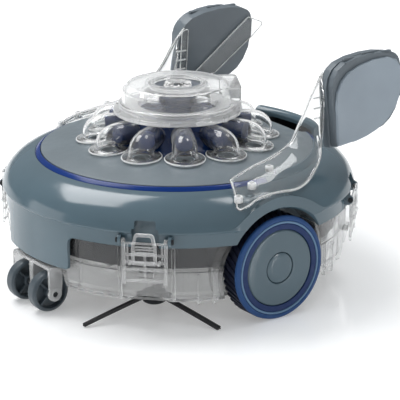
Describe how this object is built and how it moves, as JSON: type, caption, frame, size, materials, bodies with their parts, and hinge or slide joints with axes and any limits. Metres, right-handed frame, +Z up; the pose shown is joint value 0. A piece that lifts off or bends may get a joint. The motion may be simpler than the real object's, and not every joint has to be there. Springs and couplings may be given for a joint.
{
  "type": "pool cleaner robot",
  "caption": "Round cordless pool cleaning robot with clear debris tray, driven wheels, casters, side brushes, turning water-jet nozzle and two float wings.",
  "frame": {"origin": "on the floor the wheels stand on, under the middle of the robot", "axes": "+Z up, -Y towards the front casters, +X towards the machine's left drive wheel"},
  "size_m": [0.3932, 0.4312, 0.2651],
  "materials": {
    "shell_grey": "smooth, semi-gloss, opaque",
    "deck_grey": "fine satin texture, opaque",
    "accent_blue": "gloss, opaque",
    "clear_plastic": "clear moulded polycarbonate, gloss, see-through",
    "housing_blue": "semi-gloss, opaque",
    "tyre_blue": "matt moulded rubber",
    "caster_grey": "satin moulded plastic",
    "pad_grey": "satin, fine texture",
    "bristle_black": "matt bundled bristles",
    "dark_plastic": "matt moulded plastic",
    "steel": "stainless steel rod"
  },
  "bodies": {
    "body": {"bottom_tray": "clear_plastic", "turntable_ring": "clear_plastic", "outlet_tube_01": "clear_plastic", "outlet_tube_02": "clear_plastic", "outlet_tube_03": "clear_plastic", "outlet_tube_04": "clear_plastic", "outlet_tube_05": "clear_plastic", "outlet_tube_06": "clear_plastic", "outlet_tube_07": "clear_plastic", "outlet_tube_08": "clear_plastic", "outlet_tube_09": "clear_plastic", "outlet_tube_10": "clear_plastic", "outlet_tube_11": "clear_plastic", "outlet_tube_12": "clear_plastic", "wing_arm_left": "clear_plastic", "wing_arm_right": "clear_plastic", "top_shell": "shell_grey", "rear_handle": "shell_grey", "deck_cover": "deck_grey", "filter_basket": "deck_grey", "accent_ring": "accent_blue", "nozzle_column": "accent_blue", "motor_housing": "housing_blue", "battery_pack": "housing_blue", "float_pad_left": "pad_grey", "float_pad_right": "pad_grey", "equipment_bay": "dark_plastic", "gear_motor_left": "dark_plastic", "gear_motor_right": "dark_plastic", "pump_motor": "dark_plastic", "caster_axle_front": "steel", "caster_axle_rear": "steel"},
    "nozzle": {"nozzle_head": "clear_plastic", "nozzle_knob": "clear_plastic"},
    "pump_impeller": {"impeller": "dark_plastic"},
    "intake_flap": {"inlet_flap": "dark_plastic"},
    "power_key": {"power_button": "accent_blue"},
    "charging_cover": {"charging_cap": "dark_plastic"},
    "drive_wheel_left": {"tyre_left": "tyre_blue", "wheel_disc_left": "shell_grey", "hub_cap_left": "shell_grey"},
    "side_brush_left": {"brush_hub_left": "accent_blue", "brush_bristles_left": "bristle_black"},
    "caster_front_left": {"caster_wheel_front_left": "caster_grey"},
    "caster_rear_left": {"caster_wheel_rear_left": "caster_grey"},
    "drive_wheel_right": {"tyre_right": "tyre_blue", "wheel_disc_right": "shell_grey", "hub_cap_right": "shell_grey"},
    "side_brush_right": {"brush_hub_right": "accent_blue", "brush_bristles_right": "bristle_black"},
    "caster_front_right": {"caster_wheel_front_right": "caster_grey"},
    "caster_rear_right": {"caster_wheel_rear_right": "caster_grey"},
    "latch_front_left": {"latch_frame_front_left": "clear_plastic"},
    "lever_front_left": {"latch_lever_front_left": "clear_plastic"},
    "latch_rear_left": {"latch_frame_rear_left": "clear_plastic"},
    "lever_rear_left": {"latch_lever_rear_left": "clear_plastic"},
    "latch_rear_right": {"latch_frame_rear_right": "clear_plastic"},
    "lever_rear_right": {"latch_lever_rear_right": "clear_plastic"},
    "latch_front_right": {"latch_frame_front_right": "clear_plastic"},
    "lever_front_right": {"latch_lever_front_right": "clear_plastic"}
  },
  "joints": [
    {"name": "nozzle_turn", "type": "hinge", "parent": "body", "child": "nozzle", "pos_m": [0, 0, 0.2], "axis": [0, 0, 1], "range_deg": [-150, 30]},
    {"name": "impeller_spin", "type": "hinge", "parent": "body", "child": "pump_impeller", "pos_m": [0, 0, 0.17], "axis": [0, 0, 1], "continuous": true},
    {"name": "drive_wheel_left_spin", "type": "hinge", "parent": "body", "child": "drive_wheel_left", "pos_m": [0.179, 0, 0.0583], "axis": [1, 0, 0], "continuous": true},
    {"name": "drive_wheel_right_spin", "type": "hinge", "parent": "body", "child": "drive_wheel_right", "pos_m": [-0.179, 0, 0.0583], "axis": [1, 0, 0], "continuous": true},
    {"name": "caster_front_left_spin", "type": "hinge", "parent": "body", "child": "caster_front_left", "pos_m": [0.02275, -0.19, 0.0227], "axis": [1, 0, 0], "continuous": true},
    {"name": "caster_front_right_spin", "type": "hinge", "parent": "body", "child": "caster_front_right", "pos_m": [-0.02275, -0.19, 0.0227], "axis": [1, 0, 0], "continuous": true},
    {"name": "caster_rear_left_spin", "type": "hinge", "parent": "body", "child": "caster_rear_left", "pos_m": [0.02275, 0.19, 0.0227], "axis": [1, 0, 0], "continuous": true},
    {"name": "caster_rear_right_spin", "type": "hinge", "parent": "body", "child": "caster_rear_right", "pos_m": [-0.02275, 0.19, 0.0227], "axis": [1, 0, 0], "continuous": true},
    {"name": "side_brush_left_spin", "type": "hinge", "parent": "body", "child": "side_brush_left", "pos_m": [0.102, -0.103, 0.02], "axis": [0, 0, 1], "continuous": true},
    {"name": "side_brush_right_spin", "type": "hinge", "parent": "body", "child": "side_brush_right", "pos_m": [-0.102, -0.103, 0.02], "axis": [0, 0, 1], "continuous": true},
    {"name": "latch_front_left_swing", "type": "hinge", "parent": "body", "child": "latch_front_left", "pos_m": [0.14142, -0.14142, 0.104], "axis": [-0.7071, -0.7071, 0], "range_deg": [0, 100]},
    {"name": "lever_front_left_lift", "type": "hinge", "parent": "latch_front_left", "child": "lever_front_left", "pos_m": [0.14397, -0.14397, 0.0795], "axis": [0.7071, 0.7071, 0], "range_deg": [0, 80]},
    {"name": "latch_rear_left_swing", "type": "hinge", "parent": "body", "child": "latch_rear_left", "pos_m": [0.14142, 0.14142, 0.104], "axis": [0.7071, -0.7071, 0], "range_deg": [0, 100]},
    {"name": "lever_rear_left_lift", "type": "hinge", "parent": "latch_rear_left", "child": "lever_rear_left", "pos_m": [0.14397, 0.14397, 0.0795], "axis": [-0.7071, 0.7071, 0], "range_deg": [0, 80]},
    {"name": "latch_rear_right_swing", "type": "hinge", "parent": "body", "child": "latch_rear_right", "pos_m": [-0.14142, 0.14142, 0.104], "axis": [0.7071, 0.7071, 0], "range_deg": [0, 100]},
    {"name": "lever_rear_right_lift", "type": "hinge", "parent": "latch_rear_right", "child": "lever_rear_right", "pos_m": [-0.14397, 0.14397, 0.0795], "axis": [-0.7071, -0.7071, 0], "range_deg": [0, 80]},
    {"name": "latch_front_right_swing", "type": "hinge", "parent": "body", "child": "latch_front_right", "pos_m": [-0.14142, -0.14142, 0.104], "axis": [-0.7071, 0.7071, 0], "range_deg": [0, 100]},
    {"name": "lever_front_right_lift", "type": "hinge", "parent": "latch_front_right", "child": "lever_front_right", "pos_m": [-0.14397, -0.14397, 0.0795], "axis": [0.7071, -0.7071, 0], "range_deg": [0, 80]},
    {"name": "intake_flap_lift", "type": "hinge", "parent": "body", "child": "intake_flap", "pos_m": [0, -0.086, 0.0383], "axis": [-1, 0, 0], "range_deg": [0, 60]},
    {"name": "power_key_press", "type": "slide", "parent": "body", "child": "power_key", "axis": [0.1045, -0.9945, 0], "range_m": [0, 0.002], "stiffness_N_per_m": 900},
    {"name": "charging_cover_turn", "type": "hinge", "parent": "body", "child": "charging_cover", "pos_m": [0.02038, 0.19393, 0.078], "axis": [0.1045, 0.9945, 0], "range_deg": [0, 90]}
  ]
}
